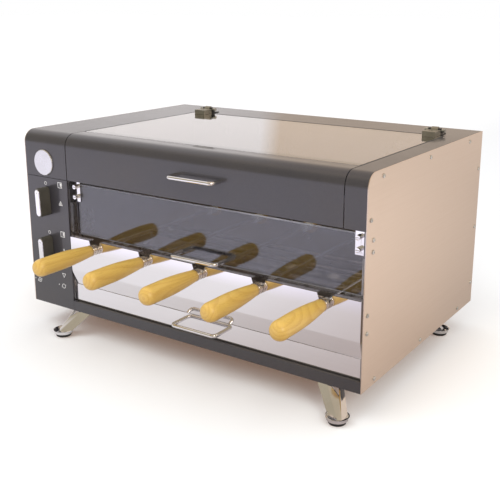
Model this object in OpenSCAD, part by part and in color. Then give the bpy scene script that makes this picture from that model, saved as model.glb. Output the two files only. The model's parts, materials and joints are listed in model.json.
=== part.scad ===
// Electric skewer grill: five turning skewers over two heating elements, a hinged
// glass lid, a top-hung glass door and a pull-out drip tray.
// X runs along the front, Y from the front to the back, Z up from the floor.
// Modules are drawn from the housing's front plane (y = 0) and underside (z = 0),
// and placed() moves them to the frame: its origin is on the floor, under the middle of
// the whole grill from the ends of the grips to the inlet at the back.

/* [Housing] */
// Width over the two side panels
body_w = 680; // [660:5:720]
// Depth from front plane to rear cover
body_d = 450; // [440:5:500]
// Height of the housing without legs and hinges
body_h = 320; // [300:5:340]
// Radius of the rounded front top edge
edge_r = 22; // [14:1:28]
// Thickness of the outer sheet metal
sheet_t = 1.2; // [1:0.1:1.6]
// Width of the control column on the left
column_w = 102; // [92:1:116]
// Width of the fixed strip to the right of the lid
right_strip_w = 35; // [28:1:44]
// Depth of the fixed strip behind the lid
back_strip_d = 88; // [80:1:96]
// Height of the lower edge of the lid's front flap
sill_h = 240; // [228:1:252]
// Height of the notched upper edge of the front panel
rail_h = 139; // [134:1:142]
// Height of the dark strip along the bottom
strip_h = 18; // [14:1:18]
// Seam between the lid and the fixed casing
seam = 1.5; // [1:0.1:2.5]
// Width of the folded joining flanges
fold_w = 14; // [12:1:18]

/* [Chamber] */
// Thickness of the chamber's stainless sheet
liner_t = 1; // [0.8:0.1:1.2]
// Space between the right chamber wall and the outside
side_space = 4; // [3:0.5:6]
// Depth of the drive space behind the chamber
drive_d = 100; // [98:1:110]
// Running and seating clearance of loose pieces
gap = 0.3; // [0.2:0.05:0.4]

/* [Front panel and drip tray] */
// Height where the front panel starts to slope back
bend_h = 78; // [66:1:86]
// Height of the front panel's lower edge
panel_low = 51.5; // [46:0.5:56]
// How far the drip tray front lies behind the front plane
tray_in = 6; // [3:1:9]
// Space behind the drip tray
tray_room = 12; // [8:1:40]
// Height of the drip tray's walls
tray_h = 22; // [16:1:23]

/* [Legs] */
// Height of the housing over the floor
leg_h = 45; // [40:1:60]
// Thickness of the folded leg sheet
leg_t = 1.6; // [1.2:0.1:2.4]
// Distance of the left pads from the left side
leg_left_in = 90; // [70:1:110]
// Distance of the right pads from the right side
leg_right_in = 28; // [22:1:50]
// Distance of the front pads in front of the front plane
leg_front_out = 17; // [0:1:20]
// Distance of the rear pads from the rear
leg_back_in = 79; // [60:1:100]
// How far a leg leans outward
leg_lean = 31; // [26:1:34]
// Width of a leg at the top
leg_top_w = 43; // [34:1:46]
// Width of a leg at the cup
leg_foot_w = 28; // [22:1:29]
// Radius of the cup under a leg
cup_r = 18; // [16:1:22]
// Radius of a rubber pad
pad_r = 13.5; // [10:0.5:15]
// Height of a rubber pad
pad_h = 6; // [4:0.5:8]

/* [Lid] */
// Thickness of the lid and door glass
glass_t = 4; // [3:0.5:5]
// Depth of the flap's flat top in front of the glass
flap_top = 46; // [40:1:54]
// Overlap of the flap under the glass
flap_lap = 18; // [12:1:24]
// Half the distance between the lid hinges
hinge_x = 246; // [225:1:248]
// Height of the hinge axis over the top face
hinge_up = 8; // [7:0.5:10]
// Distance of the hinge axis behind the lid opening
hinge_back = 4; // [4:0.5:8]
// Radius of the hinge pins
hinge_pin_r = 2.5; // [2:0.1:3]
// Width of a hinge clamp
clamp_w = 24; // [20:1:28]
// Length of a hinge clamp over the glass
clamp_l = 22; // [20:1:40]

/* [Door] */
// Distance of the door glass behind the front plane
door_in = 13; // [12:0.5:18]
// Height of the door axis under the lid flap
door_axis_down = 9; // [8:0.5:12]
// Radius of the door pivots
pivot_r = 2.5; // [2:0.1:3]
// Width of a hinge plate on the door
plate_w = 16; // [12:1:20]
// Height of a hinge plate on the door
plate_h = 36; // [30:1:38]

/* [Handles] */
// Distance between the two arms of a handle
handle_span = 86; // [70:1:110]
// Radius of the handle rod
handle_r = 3.2; // [2.6:0.1:4]
// Reach of the door and tray handles
handle_reach = 28; // [24:1:34]
// Reach of the lid handle
lid_reach = 20; // [18:1:26]
// How far the drip tray handle stands out
tray_reach = 24; // [22:1:30]
// Bend radius of the handle rod
handle_bend = 7; // [6:0.5:9]
// Height of the lid handle
lid_handle_h = 279; // [264:1:284]
// Height of the door handle
door_handle_h = 151; // [150:1:170]

/* [Control column] */
// Height of the upper knob
knob_high = 197; // [180:1:205]
// Height of the lower knob
knob_low = 107; // [90:1:120]
// Length of a bar knob
knob_l = 52; // [44:1:60]
// Width of a bar knob at the panel
knob_w = 15; // [13:0.5:18]
// Width of a bar knob at its face
knob_face_w = 11; // [9:0.5:12]
// How far a knob stands out
knob_out = 23; // [18:1:26]
// Angle of both knobs at rest, counterclockwise from upright
knob_rest = 2; // [0:1:20]
// Radius of the knob shaft
knob_shaft_r = 3; // [2.5:0.1:3.5]
// Radius of the round badge
badge_r = 23; // [18:0.5:24]
// Height of the badge
badge_high = 266; // [264:1:268]
// Thickness of the badge
badge_t = 2.5; // [1.5:0.5:3]

/* [Skewers] */
// Height of the skewer axes
skewer_h = 125; // [122:1:127]
// Side of the square skewer rod
rod_w = 6; // [5:0.5:7]
// Radius of the skewer collar that turns in a notch
collar_r = 9; // [8:0.25:10]
// Length of the wooden grip
grip_l = 120; // [100:1:128]
// Largest radius of the wooden grip
grip_r = 14.5; // [12:0.25:15]
// Radius of the wooden grip at the collar
grip_neck_r = 9.5; // [8:0.25:9.75]
// How far a rod reaches into its socket
rod_seat = 20; // [16:1:22]

/* [Drive] */
// Number of teeth of a spindle gear
gear_teeth = 57; // [55:1:58]
// Tooth module of the gear train
gear_module = 2; // [1.95:0.01:2.02]
// Number of teeth of the motor pinion
pinion_teeth = 19; // [17:1:22]
// Face width of the gears
gear_w = 8; // [6:0.5:10]
// Radius of a spindle in its bush
spindle_r = 8; // [7.5:0.25:9]
// Radius of a spindle's rear journal
journal_r = 5; // [4:0.25:6]
// Running clearance of shafts and pins in their bores
run = 0.06; // [0.04:0.01:0.08]
// Radius of the drive motor
motor_r = 27; // [22:1:32]
// Length of the drive motor
motor_l = 34; // [26:1:40]

/* [Heating] */
// Radius of a heating rod
heat_r = 4; // [3:0.25:5]
// Height of the heating rods
heat_h = 95; // [88:1:102]
// Distance between the two legs of one element
heat_pitch = 56; // [44:1:70]
// Distance of the front element from the front plane
heat_front = 112; // [90:1:130]
// Distance of the rear element from the front plane
heat_rear = 246; // [220:1:270]

/* [Hidden] */
$fn = 48;

graphite = "#5a5550";
steel = "#c9c7cc";
chrome = "#e2e4e8";
black = "#1c1c1e";
tint = "#6d6a70a0";

half_w = body_w / 2;
chamber_d = body_d - drive_d;
tray_lip = 3;                                   // rim behind the drip tray
tray_d = chamber_d - tray_in - sheet_t - tray_lip - tray_room;
column_x = -half_w + column_w;                  // right face of the control column
column_mid = -half_w + column_w / 2;
wall_l = column_x + liner_t;                    // inner face of the left chamber wall
wall_r = half_w - side_space;                   // inner face of the right chamber wall
mid_x = (wall_l + wall_r) / 2;                  // middle of the chamber
lid_r = half_w - right_strip_w;                 // right edge of the lid opening
lid_back = body_d - back_strip_d;               // rear edge of the lid opening
hinge_mid = (column_x + lid_r) / 2 + 5;         // middle between the lid hinges
ledge_w = 9;                                    // ledge under the edge of the lid glass
ledge_top = body_h - glass_t - gap;
liner_h = ledge_top - sheet_t;
skewer_pitch = gear_module * gear_teeth;        // neighbouring spindle gears mesh
hinge_y = lid_back + hinge_back;
hinge_z = body_h + hinge_up;
door_axis_z = sill_h - door_axis_down;
door_axis_y = door_in + glass_t / 2;
door_top = sill_h - 7;
door_low = rail_h + 3;
tray_floor = strip_h + 4;
tray_side = 6.5;                                // from the chamber wall to the tray's side
tray_gap = 1.5;                                 // from the chamber wall to the tray's rim
runner_top = tray_floor - gap;
bush_len = 9;                                   // bush behind the chamber's rear wall
spindle_wall = 3;                               // wall of a spindle's bush
spindle_front = chamber_d - 24;
gear_front = chamber_d + liner_t + bush_len + 2;
plate_front = gear_front + gear_w + 10;         // front face of the gear plate
plate_t = 2;
plate_edge = 20;                                // sheet left round the outer bores
pillar_r = 4;
motor_ear = motor_r + 11;                       // reach of the motor's fixing ears
pinion_r = 3.5;                                 // radius of the pinion's shaft
pinion_seat = 14;                               // length of that shaft in the motor
rod_end = spindle_front + rod_seat;
pinion_z = skewer_h + gear_module * (gear_teeth + pinion_teeth) / 2;
collar_back = 8;                                // collar behind the front plane
collar_front = 11;                              // collar in front of the front plane
tang_r = 4;                                     // tang inside the wooden grip
tang_l = 50;
swell = 0.62;                                   // share of a grip that swells
butt = 0.87;                                    // share of a grip before its round butt
inlet_t = 2.5;                                  // flange of the power inlet
origin_y = (body_d + inlet_t - collar_front - grip_l) / 2;
glass_back = lid_back - 4;                      // rear edge of the lid glass
screw_r = 1.7;
heat_end = 24;                                  // from the elements' bends to the right wall
heat_tail = 26;                                 // cold end of an element in the column
bush_wall = 2.9;                                // wall of an element's ceramic bush
screw_reach = side_space;                       // from the outside to the chamber wall
low_screws = [[41, 8.5], [210, 8.5], [378, 8.5]];
high_screws = [[46, body_h - 10], [213, body_h - 10], [386, body_h - 10]];
rear_screws = [[body_d - 10, 40], [body_d - 10, 147], [body_d - 10, body_h - 66]];
front_screws = [[12, sill_h + 14], [11, rail_h - 23], [11, rail_h - 50]];
bracket_screws = [[21.5, sill_h - 16], [21.5, sill_h - 33.5]];

// ---- shared shapes ----

module placed() { translate([0, -origin_y, leg_h]) children(); }

// Box from its low corner to its high corner
module box(low, high) { translate(low) cube(high - low); }

// Round bar along Y
module bar_y(x, z, y0, y1, r) {
    translate([x, y0, z]) rotate([-90, 0, 0]) cylinder(h = y1 - y0, r = r);
}

// Round bar along X
module bar_x(y, z, x0, x1, r) {
    translate([x0, y, z]) rotate([0, 90, 0]) cylinder(h = x1 - x0, r = r);
}

// A (y, z) profile drawn out from x0 to x1
module along_x(x0, x1) {
    translate([x0, 0, 0]) rotate([90, 0, 90]) linear_extrude(x1 - x0) children();
}

// Section of the housing with its rounded front top edge
module section(inset, y_end, z_start) {
    translate([inset, z_start]) square([y_end - inset, body_h - edge_r - z_start]);
    translate([edge_r, z_start]) square([y_end - edge_r, body_h - inset - z_start]);
    translate([edge_r, body_h - edge_r]) circle(edge_r - inset);
}

// The same section as a bent sheet: front, round edge and top
module bent_sheet(y_end, z_start) {
    difference() {
        section(0, y_end, z_start);
        section(sheet_t, y_end + 1, z_start - 1);
    }
}

// Repeats a right-hand piece on both sides of the chamber
module both_sides() {
    children();
    translate([2 * mid_x, 0, 0]) mirror([1, 0, 0]) children();
}

// Row of slots along X, cut downward through a sheet
module slots(count, pitch, size) {
    for (i = [0 : count - 1])
        translate([(i - (count - 1) / 2) * pitch, 0, 0]) cube(size, center = true);
}

module side_holes(points, x0, x1) {
    for (p = points) bar_x(p[0], p[1], x0, x1, screw_r);
}

function all_screws(side) =
    concat(low_screws, high_screws, rear_screws, front_screws, side > 0 ? bracket_screws : []);

// U-shaped rod handle on a face that looks to the front
module u_handle(z, face_y, reach) {
    bar = handle_span / 2 - handle_bend;
    translate([mid_x, face_y, z]) {
        for (side = [-1, 1]) {
            bar_y(side * handle_span / 2, 0, handle_bend - reach, 0, handle_r);
            translate([side * bar, handle_bend - reach, 0])
                rotate([0, 0, side > 0 ? 270 : 180]) rotate_extrude(angle = 90)
                    translate([handle_bend, 0]) circle(handle_r);
        }
        bar_x(-reach, 0, -bar, bar, handle_r);
    }
}

// ---- casing ----

module base_pan() {
    side = half_w - sheet_t;
    color(graphite) placed() difference() {
        union() {
            box([-side, 0, 0], [side, body_d - sheet_t, sheet_t]);
            box([column_x + gap, 0, 0], [side, sheet_t, strip_h]);
            box([wall_l + gap, 0, strip_h - sheet_t], [wall_r - gap, tray_in + 2, strip_h]);
            for (x = [-side, side - sheet_t])
                box([x, tray_in + 4, 0], [x + sheet_t, body_d - sheet_t, fold_w]);
            box([-side, body_d - 2 * sheet_t, 0], [side, body_d - sheet_t, fold_w]);
        }
        for (y = [chamber_d + 30 : 14 : chamber_d + 72])
            translate([mid_x, y, 0]) slots(9, 60, [44, 5, 8]);
        for (y = [60 : 14 : 214])
            translate([column_mid, y, 0]) slots(1, 60, [60, 5, 8]);
        side_holes(low_screws, -half_w, -side + 2 * sheet_t);
        side_holes(low_screws, side - 2 * sheet_t, half_w);
        for (sx = [-1, 1]) for (sy = [-1, 1]) leg_place(sx, sy) leg_bolt_holes();
    }
}

module side_panel(side) {
    outer = side * half_w;
    low = min(outer, outer - side * sheet_t);
    color(steel) placed() difference() {
        along_x(low, low + sheet_t) section(0, body_d, 0);
        side_holes(all_screws(side), low - 1, low + sheet_t + 1);
    }
}

module lid_opening(z0, z1, grow) {
    box([column_x - grow, -1, z0], [lid_r + grow, lid_back + grow, z1]);
}

// Room for the lid clamps in the ledge and in the chamber's rear wall
module clamp_slots() {
    for (s = [-1, 1])
        box([hinge_mid + s * hinge_x - clamp_w / 2 - 4, glass_back - clamp_l, body_h - glass_t - 8],
            [hinge_mid + s * hinge_x + clamp_w / 2 + 4, lid_back, body_h + 1]);
}

module top_shell() {
    side = half_w - sheet_t;
    color(graphite) placed() difference() {
        union() {
            difference() {
                along_x(-side, side) bent_sheet(body_d, sill_h);
                lid_opening(sill_h - 1, body_h + 1, 0);
            }
            // stepped ledge round the opening, which carries the lid glass
            difference() {
                box([column_x - sheet_t, flap_top + flap_lap + 2, liner_h],
                    [lid_r + sheet_t, lid_back + sheet_t, body_h - sheet_t]);
                lid_opening(ledge_top, body_h, 0);
                lid_opening(liner_h - 1, body_h, -ledge_w);
            }
            // joining flanges behind the side panels
            for (x = [-side, side - sheet_t])
                box([x, edge_r + 8, body_h - sheet_t - fold_w],
                    [x + sheet_t, body_d - 2 * sheet_t, body_h - sheet_t]);
        }
        clamp_slots();
        side_holes(high_screws, -half_w, -side + 2 * sheet_t);
        side_holes(high_screws, side - 2 * sheet_t, half_w);
    }
}

module rear_cover() {
    side = half_w - sheet_t;
    color(graphite) placed() difference() {
        union() {
            box([-side, body_d - sheet_t, 0], [side, body_d, body_h - sheet_t]);
            for (x = [-side, side - sheet_t])
                box([x, body_d - sheet_t - fold_w, fold_w + 4],
                    [x + sheet_t, body_d - sheet_t, body_h - 2 * sheet_t - fold_w - 2]);
        }
        for (z = [body_h - 110 : 12 : body_h - 50])
            translate([mid_x, body_d, z]) slots(9, 60, [44, 8, 5]);
        for (z = [body_h - 170 : 12 : body_h - 50])
            translate([column_mid, body_d, z]) slots(1, 60, [60, 8, 5]);
        inlet_place() box([-13.6, -6, -10.1], [13.6, 6, 10.1]);
        side_holes(rear_screws, -half_w, -side + 2 * sheet_t);
        side_holes(rear_screws, side - 2 * sheet_t, half_w);
    }
}

module control_panel() {
    side = half_w - sheet_t;
    color(graphite) placed() difference() {
        union() {
            box([-side, 0, sheet_t], [column_x, sheet_t, sill_h - 0.8]);
            // return beside the door recess and return behind the side panel
            box([column_x - sheet_t, 0, sheet_t], [column_x, 34, sill_h - 0.8]);
            box([-side, 0, fold_w + 2], [-side + sheet_t, 22, sill_h - 0.8]);
        }
        for (z = [knob_high, knob_low]) bar_y(column_mid, z, -1, sheet_t + 1, knob_shaft_r + 2.1);
        side_holes(front_screws, -half_w, -side + 2 * sheet_t);
        side_holes(low_screws, -half_w, -side + 2 * sheet_t);
    }
}

module badge() {
    color(chrome) placed() translate([column_mid - 3.5, 0, badge_high]) rotate([90, 0, 0]) {
        cylinder(h = badge_t - 1, r = badge_r);
        translate([0, 0, badge_t - 1]) cylinder(h = 1, r1 = badge_r, r2 = badge_r - 1);
    }
}

// Notch for one skewer collar: a round seat with a flared way in
module notch() {
    seat = collar_r + gap;
    flare = seat + 4;
    top = rail_h - skewer_h + 1;
    rotate([90, 0, 0]) translate([0, 0, -40]) linear_extrude(60) {
        circle(seat);
        polygon([[-seat, 0], [seat, 0], [seat, 4], [flare, top], [-flare, top], [-seat, 4]]);
    }
}

module front_panel() {
    left = wall_l + gap;
    right = wall_r - gap;
    t = sheet_t;
    color(steel) placed() difference() {
        union() {
            along_x(left, right) polygon([
                [0, bend_h], [0, rail_h], [door_in - 2, rail_h], [door_in - 2, rail_h - t],
                [t, rail_h - t], [t, bend_h + t / 4], [tray_in + t, panel_low],
                [tray_in, panel_low]
            ]);
            for (x = [left, right - t])
                box([x, 0, bend_h], [x + t, door_in - 2, rail_h]);
        }
        for (i = [-2 : 2]) translate([mid_x + i * skewer_pitch, 0, skewer_h]) notch();
    }
}

module chamber_liner() {
    t = liner_t;
    back = chamber_d + t;
    color(steel) placed() difference() {
        intersection() {
            // the side walls' front corners stay inside the housing's rounded edge
            along_x(-half_w, half_w) section(sheet_t + gap, body_d, 0);
            union() {
                box([wall_l - t, 4, sheet_t], [wall_l, back, liner_h]);
                box([wall_r, 4, sheet_t], [wall_r + t, back, liner_h]);
                box([wall_l - t, chamber_d, sheet_t], [wall_r + t, back, liner_h]);
                // inward folds along the top edges
                box([wall_r - 12, flap_top + 40, liner_h - t], [wall_r + t, back, liner_h]);
                box([wall_l, flap_top + 40, liner_h - t], [wall_l + 6, back, liner_h]);
            }
        }
        for (i = [-2 : 2])
            bar_y(mid_x + i * skewer_pitch, skewer_h, chamber_d - 1, back + 1, spindle_r + spindle_wall);
        for (y = heat_rows()) bar_x(y, heat_h, wall_l - 2 * t, wall_l + t, heat_r + bush_wall + 0.1);
        clamp_slots();
        side_holes(all_screws(1), wall_r - 1, wall_r + t + 1);
    }
}

module tray_runners() {
    color(steel) placed() both_sides() {
        box([wall_r - 18, tray_in + 6, runner_top - 1], [wall_r, chamber_d, runner_top]);
        box([wall_r - 1, tray_in + 6, sheet_t], [wall_r, chamber_d, runner_top]);
    }
}

// Round-head screws of the side panels, one solid each
module panel_screws() {
    color(steel) placed() for (side = [-1, 1]) for (p = all_screws(side)) {
        reach = side > 0 ? screw_reach : 3 * sheet_t;
        translate([side * half_w, p[0], p[1]]) rotate([0, side * 90, 0]) {
            translate([0, 0, -reach]) cylinder(h = reach + 0.5, r = screw_r - 0.1);
            intersection() {
                translate([0, 0, -2.4]) sphere(4.4);
                cylinder(h = 5, r = 3.4);
            }
        }
    }
}

// ---- legs ----

// Moves to one pad; the legs on the left and at the rear are mirrored
module leg_place(sx, sy) {
    x = sx > 0 ? half_w - leg_right_in : leg_left_in - half_w;
    y = sy > 0 ? body_d - leg_back_in : -leg_front_out;
    translate([x, y, 0]) mirror([sx < 0 ? 1 : 0, 0, 0]) mirror([0, sy > 0 ? 1 : 0, 0]) children();
}

module leg_bolt_holes() {
    for (x = [-8, 8])
        translate([leg_plate_x + x, leg_plate_y + 14, -6]) cylinder(h = 12, r = 2.1);
}

// A leg is one folded sheet: a wide front face, a middle face and a narrow side face.
// Each face keeps its direction from the cup to the top, where it has moved inward.
// A row holds the face's angle and one of its points at the top and at the cup.
leg_fall = leg_h - pad_h - 1;
leg_top = [[3 - leg_lean, 19], [22 - leg_lean, 21]];
leg_foot = [[3, -6], [10, -3.5]];
leg_faces = [
    [-14, leg_top[0], leg_foot[0]], [10, leg_top[0], leg_foot[0]], [75, leg_top[1], leg_foot[1]]
];
leg_plate_x = leg_top[0][0] - 4;                // middle of the plate under the housing
leg_plate_y = leg_top[0][1] + 4;
leg_side_top = leg_top[1][0] + 3;               // outer edge of the side face
leg_side_foot = leg_foot[1][0] + 3;

// Distance of a point behind a line through the middle at a given angle
function behind(p, a) = p[1] * cos(a) - p[0] * sin(a);

// Room behind one face, or behind its inner side
module behind_face(f, inset) {
    lean = behind(f[1], f[0]) - behind(f[2], f[0]);
    translate([f[1][0], f[1][1], 0]) rotate([0, 0, f[0]]) rotate([-atan(lean / leg_fall), 0, 0])
        translate([-100, inset, -100]) cube([200, 120, 200]);
}

module leg_room(inset) { intersection_for (f = leg_faces) behind_face(f, inset); }

module leg(sx, sy) {
    color(chrome) placed() leg_place(sx, sy) difference() {
        union() {
            intersection() {
                difference() {
                    leg_room(0);
                    leg_room(leg_t);
                }
                // inner edge of the front face, seen from the front
                translate([0, 60, 0]) rotate([90, 0, 0]) linear_extrude(120) polygon([
                    [leg_side_top - leg_top_w, 0], [40, 0], [40, -leg_fall],
                    [leg_side_foot - leg_foot_w, -leg_fall]
                ]);
                // rear edge of the side face, seen from the side
                along_x(-90, 40) polygon([
                    [-60, 0], [leg_top[1][1] + 9, 0], [leg_foot[1][1] + 12, -leg_fall], [-60, -leg_fall]
                ]);
            }
            // plate under the housing
            intersection() {
                leg_room(0);
                box([leg_plate_x - 17, leg_top[0][1] - 6, -leg_t],
                    [leg_plate_x + 17, leg_plate_y + 24, 0]);
            }
            // dished cup at the foot
            translate([0, 0, -leg_fall - 1]) cylinder(h = 2, r = cup_r - 2);
            translate([0, 0, -leg_fall - 1]) difference() {
                cylinder(h = 6, r1 = cup_r - 3, r2 = cup_r);
                translate([0, 0, 1.5]) cylinder(h = 6, r1 = cup_r - 4, r2 = cup_r - 1);
            }
        }
        leg_bolt_holes();
        // relief beside the upper end of the narrow face
        translate([0, 60, 0]) rotate([90, 0, 0]) linear_extrude(120) polygon([
            [leg_top[1][0] - 12, -leg_t], [leg_top[1][0] - 1, -leg_t], [leg_top[1][0] + 4, -12]
        ]);
    }
}

module foot_pads() {
    color(black) placed() for (sx = [-1, 1]) for (sy = [-1, 1]) leg_place(sx, sy)
        translate([0, 0, -leg_h]) {
            cylinder(h = 1.5, r1 = pad_r - 1.5, r2 = pad_r);
            translate([0, 0, 1.5]) cylinder(h = pad_h - 1.5, r = pad_r);
        }
}

// ---- heating ----

function heat_rows() = [
    heat_front - heat_pitch / 2, heat_front + heat_pitch / 2,
    heat_rear - heat_pitch / 2, heat_rear + heat_pitch / 2
];

module heating_element(y) {
    bend = heat_pitch / 2;
    end_x = wall_r - heat_end;
    color("#7a7270") placed() {
        for (s = [-1, 1]) {
            bar_x(y + s * bend, heat_h, column_x - heat_tail, end_x - bend, heat_r);
            // terminal pin
            bar_x(y + s * bend, heat_h, column_x - 1.5 * heat_tail, column_x - heat_tail, heat_r * 0.4);
        }
        translate([end_x - bend, y, heat_h]) rotate([0, 0, -90]) rotate_extrude(angle = 180)
            translate([bend, 0]) circle(heat_r);
    }
}

module element_bushes() {
    color("#e8e2d4") placed() for (y = heat_rows()) difference() {
        union() {
            bar_x(y, heat_h, column_x - heat_tail / 2, wall_l + 4, heat_r + bush_wall);
            bar_x(y, heat_h, wall_l, wall_l + 4, heat_r + bush_wall + 2);
        }
        bar_x(y, heat_h, column_x - heat_tail, wall_l + 5, heat_r + 0.1);
    }
}

module element_brackets() {
    top = heat_h - heat_r - gap;
    color(steel) placed() for (y = [heat_front, heat_rear]) {
        box([wall_r - heat_end - 14, y - 9, top - liner_t], [wall_r, y + 9, top]);
        box([wall_r - liner_t, y - 9, top - 18], [wall_r, y + 9, top]);
    }
}

// ---- controls ----

module rotary_switch(z) {
    color(black) placed() difference() {
        union() {
            box([column_mid - 18, sheet_t, z - 18], [column_mid + 18, 24, z + 18]);
            bar_y(column_mid, z, 0, sheet_t, knob_shaft_r + 2);
            for (s = [-1, 1]) for (h = [-10, 0, 10])
                box([column_mid + s * 12 - 3, 24, z + h - 0.4], [column_mid + s * 12 + 3, 33, z + h + 0.4]);
        }
        bar_y(column_mid, z, -1, 17, knob_shaft_r + run);
    }
}

module stadium(length, width) {
    square([width, length - width], center = true);
    for (s = [-1, 1]) translate([0, s * (length - width) / 2]) circle(width / 2);
}

module knob_place(z) {
    translate([column_mid, -0.6, z]) rotate([90, 0, 0]) rotate([0, 0, knob_rest]) children();
}

// Tapered bar with its shaft; z runs outward here
module knob(z) {
    color("#35332f") placed() knob_place(z) {
        intersection() {
            linear_extrude(knob_out - 1.5) stadium(knob_l, knob_w);
            translate([0, knob_l, 0]) rotate([90, 0, 0]) linear_extrude(2 * knob_l)
                polygon([[-knob_w / 2, 0], [knob_w / 2, 0],
                         [knob_face_w / 2, knob_out - 1.5], [-knob_face_w / 2, knob_out - 1.5]]);
        }
        translate([0, 0, -15]) cylinder(h = 16, r = knob_shaft_r);
    }
}

module knob_cap(z) {
    color(chrome) placed() knob_place(z) translate([0, 0, knob_out - 1.5]) difference() {
        union() {
            linear_extrude(0.8) stadium(knob_l - (knob_w - knob_face_w), knob_face_w);
            translate([0, 0, 0.8]) linear_extrude(0.7)
                stadium(knob_l - (knob_w - knob_face_w) - 1.2, knob_face_w - 1.2);
        }
        translate([0, knob_l / 2 - 8, 0.9]) cylinder(h = 2, r = 1.2);
    }
}

module terminal_block() {
    color("#d9d4c8") placed() difference() {
        box([column_mid - 30, 250, sheet_t], [column_mid + 30, 272, sheet_t + 16]);
        for (i = [-2 : 2]) translate([column_mid + i * 11, 261, sheet_t + 8]) cylinder(h = 9, r = 3);
        for (i = [-2 : 2]) bar_y(column_mid + i * 11, sheet_t + 5, 249, 273, 2);
    }
}

module inlet_place() {
    translate([column_mid, body_d, 70]) children();
}

inlet_floor = -16;                              // bottom of the inlet's socket

module power_inlet() {
    color(black) placed() inlet_place() difference() {
        union() {
            box([-24, 0, -14], [24, inlet_t, 14]);
            box([-13.5, inlet_floor - 6, -10], [13.5, 0, 10]);
        }
        box([-11.5, inlet_floor, -8], [11.5, inlet_t + 1, 8]);
    }
}

// Three flat pins on the bottom of the socket
module inlet_pins() {
    color(steel) placed() inlet_place() for (x = [-7, 0, 7])
        box([x - 1, inlet_floor, x == 0 ? 1 : -3], [x + 1, -3, x == 0 ? 5 : 1]);
}

// ---- drive ----

function involute(base_r, angle) =
    base_r * [cos(angle) + angle * PI / 180 * sin(angle), sin(angle) - angle * PI / 180 * cos(angle)];
function turned(p, a) = [p[0] * cos(a) - p[1] * sin(a), p[0] * sin(a) + p[1] * cos(a)];
function roll(base_r, r) = r > base_r ? sqrt(pow(r / base_r, 2) - 1) * 180 / PI : 0;

// Flat spur gear with a tooth on +X: involute flanks at 20 degrees and a little backlash
module spur_gear(teeth, width) {
    pitch_r = gear_module * teeth / 2;
    base_r = pitch_r * cos(20);
    tip_r = pitch_r + 0.9 * gear_module;
    root_r = pitch_r - 1.2 * gear_module;
    start_r = max(base_r, root_r);
    backlash = 0.16;
    pitch_roll = roll(base_r, pitch_r);
    lag = pitch_roll - 20;                      // polar angle of the involute at the pitch circle
    half = 90 / teeth - backlash / pitch_r * 90 / PI + lag;
    flank = [for (i = [0 : 3]) involute(base_r, roll(base_r, start_r + (tip_r - start_r) * i / 3))];
    step = 360 / teeth;
    root_a = min(half, step / 2 - 0.4);
    linear_extrude(width) polygon([for (k = [0 : teeth - 1]) each concat(
        [turned([root_r, 0], k * step - root_a)],
        [for (p = flank) turned(p, k * step - half)],
        [for (i = [3 : -1 : 0]) turned([flank[i][0], -flank[i][1]], k * step + half)],
        [turned([root_r, 0], k * step + root_a)]
    )]);
}

// Gear, hub, shaft with square socket and rear journal, all in one moulding
module spindle(i) {
    x = mid_x + (i - 3) * skewer_pitch;
    socket = rod_w / 2 + 0.2;
    color("#b9b4a6") placed() difference() {
        union() {
            bar_y(x, skewer_h, spindle_front, gear_front, spindle_r);
            translate([x, gear_front + gear_w, skewer_h]) rotate([90, 0, 0])
                spur_gear(gear_teeth, gear_w);
            bar_y(x, skewer_h, gear_front, gear_front + gear_w + 3, spindle_r + 4);
            bar_y(x, skewer_h, gear_front, plate_front + plate_t + 3, journal_r);
        }
        box([x - socket, spindle_front - 1, skewer_h - socket],
            [x + socket, rod_end + 1, skewer_h + socket]);
        // lightening holes between hub and rim
        for (a = [30 : 60 : 330])
            bar_y(x + 33 * cos(a), skewer_h + 33 * sin(a), gear_front - 1, gear_front + gear_w + 1, 11);
    }
}

module spindle_bushes() {
    color("#c8a85a") placed() for (i = [-2 : 2]) difference() {
        x = mid_x + i * skewer_pitch;
        union() {
            bar_y(x, skewer_h, chamber_d - 3, chamber_d, spindle_r + 7);
            bar_y(x, skewer_h, chamber_d, chamber_d + liner_t + bush_len, spindle_r + spindle_wall - 0.05);
        }
        bar_y(x, skewer_h, chamber_d - 4, chamber_d + liner_t + bush_len + 1, spindle_r + run);
    }
}

module motor_pinion() {
    // phase of the middle spindle gear straight above its axis, in teeth
    phase = gear_teeth / 4 - floor(gear_teeth / 4);
    turn = 270 + (phase + 0.5) * 360 / pinion_teeth;
    color("#b9b4a6") placed() {
        translate([mid_x, gear_front + gear_w, pinion_z]) rotate([90, 0, 0]) rotate([0, 0, turn])
            spur_gear(pinion_teeth, gear_w);
        bar_y(mid_x, pinion_z, gear_front - 1, plate_front + plate_t + pinion_seat, pinion_r);
        bar_y(mid_x, pinion_z, gear_front + gear_w, gear_front + gear_w + 4, spindle_r);
    }
}

module gear_plate() {
    outer = skewer_pitch * 2 + journal_r + plate_edge;
    tall = skewer_pitch / 2 - 7;
    wing = motor_r + plate_edge - 1;
    pillar_x = skewer_pitch * 1.5;
    pillar_z = skewer_pitch / 3;
    color(steel) placed() difference() {
        union() {
            box([mid_x - outer, plate_front, skewer_h - tall],
                [mid_x + outer, plate_front + plate_t, skewer_h + tall]);
            box([mid_x - wing, plate_front, skewer_h],
                [mid_x + wing, plate_front + plate_t, pinion_z + motor_ear]);
            // pillars from the chamber's rear wall
            for (sx = [-1, 1]) for (sz = [-1, 1])
                bar_y(mid_x + sx * pillar_x, skewer_h + sz * pillar_z, chamber_d + liner_t,
                      plate_front + plate_t / 2, pillar_r);
        }
        for (i = [-2 : 2])
            bar_y(mid_x + i * skewer_pitch, skewer_h, plate_front - 1, plate_front + plate_t + 1,
                  journal_r + run);
        bar_y(mid_x, pinion_z, plate_front - 1, plate_front + plate_t + 1, pinion_r + 2.5);
    }
}

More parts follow.
